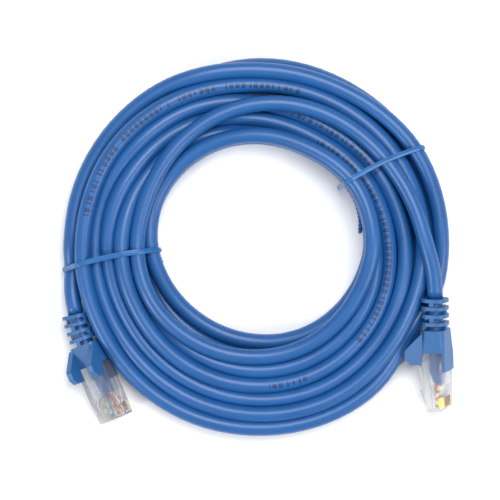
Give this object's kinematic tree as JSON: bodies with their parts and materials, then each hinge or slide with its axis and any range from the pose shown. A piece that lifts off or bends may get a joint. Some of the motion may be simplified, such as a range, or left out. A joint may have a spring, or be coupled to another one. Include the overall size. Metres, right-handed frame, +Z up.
{
  "type": "ethernet patch cable",
  "caption": "Round blue network patch cable in a loose coil held by twist ties, with a clear modular plug and a ribbed blue boot at each end.",
  "frame": {"origin": "on the surface that the coil lies on, under the middle of the outline of the whole object", "axes": "+Z up from that surface, through the coil's thickness; -Y is the side that both plugs point to; +X is the side of the plug that lies on its edge"},
  "size_m": [0.1495, 0.1434, 0.0196],
  "materials": {
    "cable_jacket": "satin",
    "boot": "satin",
    "tie_band": "satin",
    "tie_wire": "drawn",
    "clear_plug": "clear, polished",
    "contact_gold": "gold plated",
    "copper": "drawn",
    "wire_white_orange": "satin",
    "wire_orange": "satin",
    "wire_white_green": "satin",
    "wire_blue": "satin",
    "wire_white_blue": "satin",
    "wire_green": "satin",
    "wire_white_brown": "satin",
    "wire_brown": "satin"
  },
  "bodies": {
    "cable": {"cable_coil": "cable_jacket", "cable_tail_left": "cable_jacket", "tie_left": "tie_band", "tie_wire_left": "tie_wire", "boot_left": "boot", "plug_housing_left": "clear_plug", "contacts_left": "contact_gold", "jacket_end_left": "cable_jacket", "copper_cores_left": "copper", "wire_white_orange_left": "wire_white_orange", "wire_orange_left": "wire_orange", "wire_white_green_left": "wire_white_green", "wire_blue_left": "wire_blue", "wire_white_blue_left": "wire_white_blue", "wire_green_left": "wire_green", "wire_white_brown_left": "wire_white_brown", "wire_brown_left": "wire_brown", "cable_tail_right": "cable_jacket", "tie_right": "tie_band", "tie_wire_right": "tie_wire", "boot_right": "boot", "plug_housing_right": "clear_plug", "contacts_right": "contact_gold", "jacket_end_right": "cable_jacket", "copper_cores_right": "copper", "wire_white_orange_right": "wire_white_orange", "wire_orange_right": "wire_orange", "wire_white_green_right": "wire_white_green", "wire_blue_right": "wire_blue", "wire_white_blue_right": "wire_white_blue", "wire_green_right": "wire_green", "wire_white_brown_right": "wire_white_brown", "wire_brown_right": "wire_brown"},
    "latch_tab_left": {"latch_left": "clear_plug"},
    "latch_tab_right": {"latch_right": "clear_plug"}
  },
  "joints": [
    {"name": "latch_press_left", "type": "hinge", "parent": "cable", "child": "latch_tab_left", "pos_m": [-0.05587, -0.06498, 0.01007], "axis": [-0.8001, -0.3314, -0.5], "range_deg": [0, 8], "stiffness_Nm_per_rad": 0.3},
    {"name": "latch_press_right", "type": "hinge", "parent": "cable", "child": "latch_tab_right", "pos_m": [0.06617, -0.06063, 0.00709], "axis": [0.3857, 0.1284, -0.9136], "range_deg": [0, 8], "stiffness_Nm_per_rad": 0.3}
  ]
}
